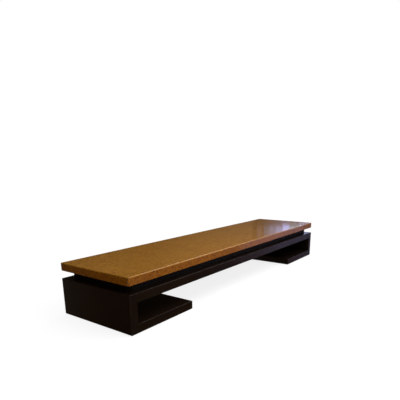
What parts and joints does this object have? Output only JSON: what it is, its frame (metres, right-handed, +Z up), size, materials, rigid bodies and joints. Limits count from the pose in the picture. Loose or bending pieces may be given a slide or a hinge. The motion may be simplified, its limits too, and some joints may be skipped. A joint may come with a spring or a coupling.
{
  "type": "bench",
  "caption": "Low backless bench: a flat cork-faced seat slab on a recessed plinth, over a dark wood base whose ends turn down and back in along the floor.",
  "frame": {"origin": "middle of the footprint, on the floor, at the undersides of the glides", "axes": "+X along the bench's length, +Y from front to back, +Z up"},
  "size_m": [2.134, 0.512, 0.284],
  "materials": {
    "cork": "amber-brown fine-grained cork under semi-gloss lacquer",
    "dark_wood": "very dark brown stained open-grain wood, satin lacquer",
    "black_paint": "matte black paint over wood",
    "core_wood": "bare sawn softwood",
    "beech": "bare beech",
    "zinc_steel": "zinc-plated steel"
  },
  "bodies": {
    "root": {"cork_sheet_left": "cork", "cork_sheet_middle": "cork", "cork_sheet_right": "cork", "cork_edge_front": "cork", "cork_edge_back": "cork", "cork_edge_left": "cork", "cork_edge_right": "cork", "top_core": "core_wood", "top_backing": "black_paint", "plinth_rail_front": "black_paint", "plinth_rail_back": "black_paint", "plinth_rail_left": "black_paint", "plinth_rail_right": "black_paint", "plinth_cross_rail_left": "core_wood", "plinth_cross_rail_middle": "core_wood", "plinth_cross_rail_right": "core_wood", "plinth_corner_blocks": "core_wood", "plinth_dowels": "beech", "deck_panel": "dark_wood", "end_panel_left": "dark_wood", "end_panel_right": "dark_wood", "foot_panel_left": "dark_wood", "foot_panel_right": "dark_wood", "mitre_tongue_top_left": "beech", "mitre_tongue_top_right": "beech", "mitre_tongue_foot_left": "beech", "mitre_tongue_foot_right": "beech", "top_fixing_screws": "zinc_steel", "deck_fixing_screws": "zinc_steel", "glides_left": "zinc_steel", "glides_right": "zinc_steel"}
  },
  "joints": []
}
